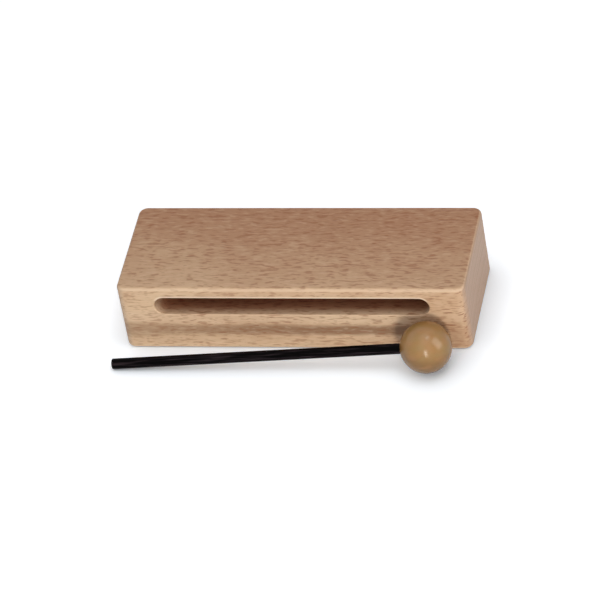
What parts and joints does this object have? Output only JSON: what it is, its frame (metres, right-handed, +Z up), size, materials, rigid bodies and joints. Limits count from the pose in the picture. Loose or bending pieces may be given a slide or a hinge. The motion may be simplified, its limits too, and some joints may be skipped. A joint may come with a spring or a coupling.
{
  "type": "wood block",
  "caption": "Rectangular beech wood block with an undercut sound slot in each long side, and a ball-headed mallet resting against it.",
  "frame": {"origin": "middle of the block's bottom face, on the surface that the block stands on", "axes": "+X along the block and its grain, towards the end where the mallet's ball lies; -Y out of the front face with the upper slot; +Z up, out of the playing face"},
  "size_m": [0.1945, 0.0977, 0.0415],
  "materials": {
    "beech": "sanded and oiled, matte, with fine brown ray flecks along the grain",
    "varnished_ball": "turned and varnished, satin",
    "black_rod": "black, satin to glossy"
  },
  "bodies": {
    "block": {"block_body": "beech"},
    "mallet": {"mallet_head": "varnished_ball", "mallet_shaft": "black_rod"}
  },
  "joints": [
    {"name": "mallet_lift", "type": "slide", "parent": "block", "child": "mallet", "axis": [0, 0, 1], "range_m": [0, 0.1]}
  ]
}
